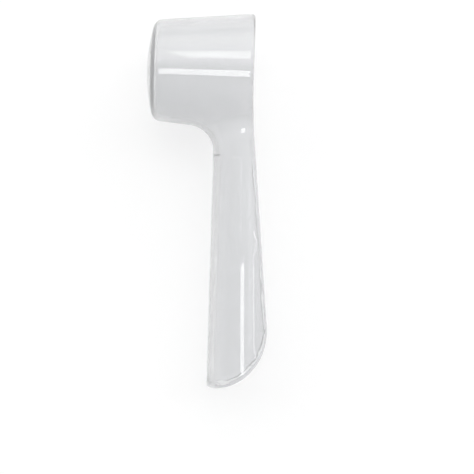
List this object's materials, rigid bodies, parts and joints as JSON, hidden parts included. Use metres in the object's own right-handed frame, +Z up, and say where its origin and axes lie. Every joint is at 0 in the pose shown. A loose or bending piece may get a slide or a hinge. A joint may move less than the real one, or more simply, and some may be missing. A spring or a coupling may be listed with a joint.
{
  "type": "electric toothbrush cover",
  "caption": "Clear one-piece clip-over cover: a round hood with a domed face, open at the back, and a half-round sleeve with a rounded tongue, to keep a brush head clean.",
  "frame": {"origin": "bottom centre of the bounding box, on the table the cover lies on", "axes": "+X from the closed face towards the open back, +Y along the sleeve towards the hood, +Z up from the table; the cover lies on its side, rolled about 5.5 degrees and dipped about 3.6 degrees, as it comes to rest"},
  "size_m": [0.0232, 0.0706, 0.0224],
  "materials": {
    "clear_plastic": "clear, slightly hazy moulded plastic with a polished surface"
  },
  "bodies": {
    "root": {"cover": "clear_plastic"}
  },
  "joints": []
}
